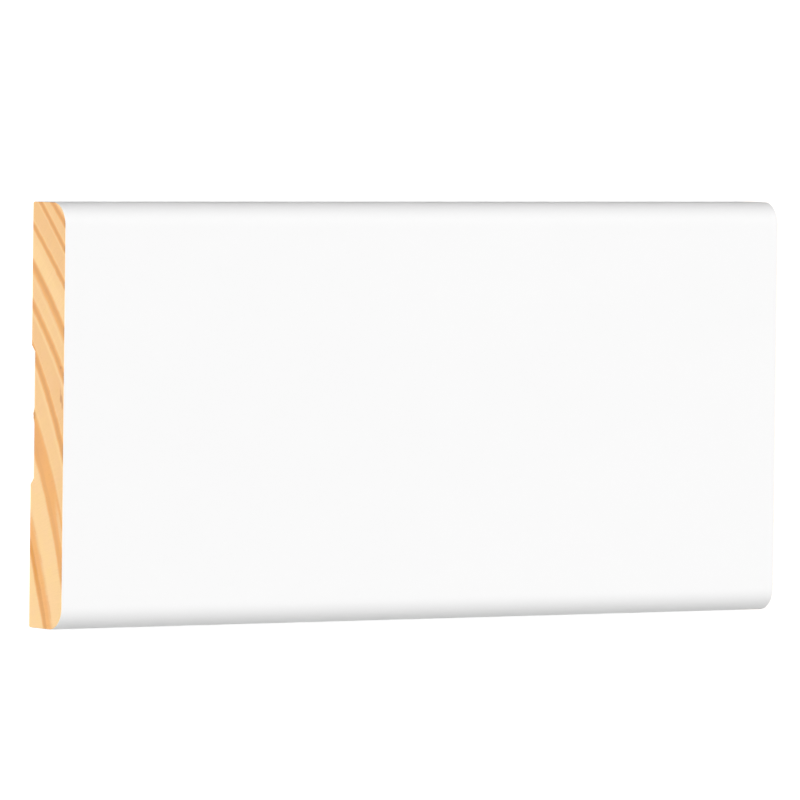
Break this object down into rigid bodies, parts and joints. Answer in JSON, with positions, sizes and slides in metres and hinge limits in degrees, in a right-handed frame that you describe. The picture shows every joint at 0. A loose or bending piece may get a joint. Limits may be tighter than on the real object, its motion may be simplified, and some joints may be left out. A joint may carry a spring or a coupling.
{
  "type": "door casing",
  "caption": "Flat length of primed pine door casing with both face edges rounded and a shallow relief channel along its back, for trimming the joint between a door frame and the wall.",
  "frame": {"origin": "middle of the back's footprint, on the plane of the two back lands", "axes": "+X along the length of the stock, +Y across its width, +Z out of the primed face; the board lies on its back"},
  "size_m": [0.1826, 0.0888, 0.0127],
  "materials": {
    "primed_pine": "white satin primer on the face, both rounded edges and both sides; bare sawn pine on the ends and bare planed pine on the back"
  },
  "bodies": {
    "root": {"door_casing": "primed_pine"}
  },
  "joints": []
}
